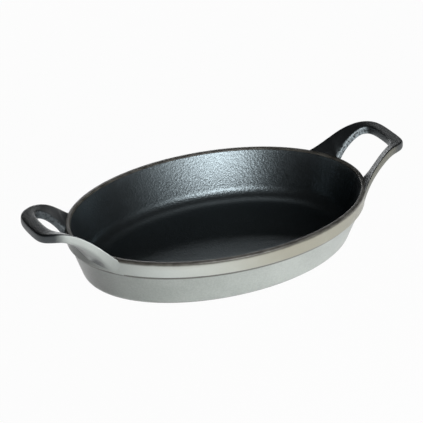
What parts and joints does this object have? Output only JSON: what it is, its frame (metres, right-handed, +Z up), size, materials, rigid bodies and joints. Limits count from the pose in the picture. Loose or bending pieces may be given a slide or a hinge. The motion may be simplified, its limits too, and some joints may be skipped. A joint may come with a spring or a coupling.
{
  "type": "oval baking dish",
  "caption": "Oval enamelled cast iron baking dish with a black lining, a stepped grey collar and a raised loop handle at each end.",
  "frame": {"origin": "middle of the flat underside, on the table", "axes": "+X along the long axis through both handles, +Y across the dish, +Z up"},
  "size_m": [0.3092, 0.163, 0.0652],
  "materials": {
    "iron": "cast, hidden under the coats",
    "lining": "satin black glass enamel with a fine grain",
    "glaze": "glossy pale grey glass enamel",
    "edge": "brown-black glass enamel on the lip",
    "handle": "satin black enamel above, grey enamel on the outer sides"
  },
  "bodies": {
    "root": {"bowl_casting": "iron", "lining_enamel": "lining", "rim_enamel": "edge", "collar_enamel": "glaze", "wall_enamel": "glaze", "base_enamel": "glaze", "handle_right": "handle", "handle_left": "handle"}
  },
  "joints": []
}
